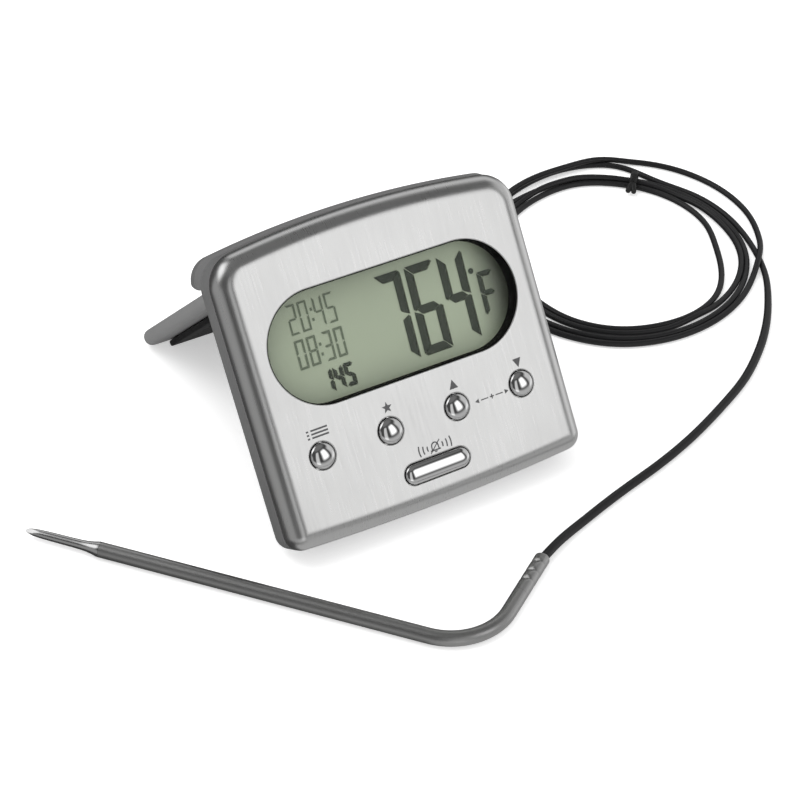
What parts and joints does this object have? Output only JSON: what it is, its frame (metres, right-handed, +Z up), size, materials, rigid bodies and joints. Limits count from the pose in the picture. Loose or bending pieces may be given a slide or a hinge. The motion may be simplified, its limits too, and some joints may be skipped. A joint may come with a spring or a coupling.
{
  "type": "oven probe meat thermometer",
  "caption": "Digital meat thermometer: steel-fronted display unit with domed buttons leaning on a fold-out stand, with a coiled cable and a bent steel probe.",
  "frame": {"origin": "middle of the footprint of the display unit, its open stand and the probe, on the surface they stand on; the cable, its tie and its plug are not counted", "axes": "+Z up, +X to the right of someone reading the display, -Y towards that reader"},
  "size_m": [0.2886, 0.1902, 0.0792],
  "materials": {
    "brushed_steel": "stainless sheet with a fine brushed grain running up the face, satin",
    "chrome": "bright polished metal buttons",
    "grey_plastic": "mid-grey moulded plastic with a fine satin texture",
    "black_plastic": "black moulded plastic",
    "black_rubber": "matte black rubber",
    "clear_lens": "clear plastic window",
    "lcd_glass": "grey-green reflective liquid crystal panel",
    "circuit_board": "green solder mask",
    "silicone": "grey silicone",
    "contact_brass": "plated brass contacts",
    "battery_steel": "nickel-plated steel can",
    "screw_steel": "zinc-plated steel",
    "probe_steel": "drawn stainless tube, satin, with a bright ground tip",
    "ceramic": "sensor bead in ceramic",
    "cable_jacket": "black heat-resistant jacket, slightly glossy"
  },
  "bodies": {
    "case": {"board_screw_1": "screw_steel", "board_screw_2": "screw_steel", "board_screw_3": "screw_steel", "board_screw_4": "screw_steel", "cable_coil": "cable_jacket", "cable_lead": "cable_jacket", "cable_tail": "cable_jacket", "cable_tie": "black_plastic", "case_screw_1": "screw_steel", "case_screw_2": "screw_steel", "case_screw_3": "screw_steel", "case_screw_4": "screw_steel", "coin_cell": "battery_steel", "contact_clip": "contact_brass", "contact_leaf": "contact_brass", "front_bezel": "brushed_steel", "inner_frame": "black_plastic", "keypad_membrane": "silicone", "lcd_lens": "clear_lens", "lcd_panel": "lcd_glass", "lcd_shroud": "black_plastic", "main_board": "circuit_board", "piezo_buzzer": "black_plastic", "plug_body": "black_plastic", "plug_pin": "contact_brass", "plug_strain_relief": "black_rubber", "probe_crimp": "probe_steel", "probe_jack": "black_plastic", "probe_shaft": "probe_steel", "probe_tip": "probe_steel", "rear_housing": "grey_plastic", "thermistor_bead": "ceramic", "zebra_strip": "silicone"},
    "stand": {"stand_flap": "grey_plastic", "stand_pad": "black_rubber", "hinge_pin_left": "screw_steel", "hinge_pin_right": "screw_steel"},
    "battery_cover": {"battery_cover": "grey_plastic"},
    "menu_button": {"menu_button": "chrome"},
    "preset_button": {"preset_button": "chrome"},
    "up_button": {"up_button": "chrome"},
    "down_button": {"down_button": "chrome"},
    "alarm_off_button": {"alarm_off_button": "chrome"}
  },
  "joints": [
    {"name": "stand_fold", "type": "hinge", "parent": "case", "child": "stand", "pos_m": [0.0303, 0.02583, 0.05937], "axis": [-1, 0, 0], "range_deg": [0, 80.61]},
    {"name": "battery_cover_turn", "type": "hinge", "parent": "case", "child": "battery_cover", "pos_m": [0.0303, -0.01349, 0.01599], "axis": [0, -0.7997, 0.6004], "range_deg": [0, 60]},
    {"name": "menu_press", "type": "slide", "parent": "case", "child": "menu_button", "axis": [0, 0.7997, -0.6004], "range_m": [0, 0.0008], "stiffness_N_per_m": 1200},
    {"name": "preset_press", "type": "slide", "parent": "case", "child": "preset_button", "axis": [0, 0.7997, -0.6004], "range_m": [0, 0.0008], "stiffness_N_per_m": 1200},
    {"name": "up_press", "type": "slide", "parent": "case", "child": "up_button", "axis": [0, 0.7997, -0.6004], "range_m": [0, 0.0008], "stiffness_N_per_m": 1200},
    {"name": "down_press", "type": "slide", "parent": "case", "child": "down_button", "axis": [0, 0.7997, -0.6004], "range_m": [0, 0.0008], "stiffness_N_per_m": 1200},
    {"name": "alarm_off_press", "type": "slide", "parent": "case", "child": "alarm_off_button", "axis": [0, 0.7997, -0.6004], "range_m": [0, 0.0008], "stiffness_N_per_m": 1200}
  ]
}
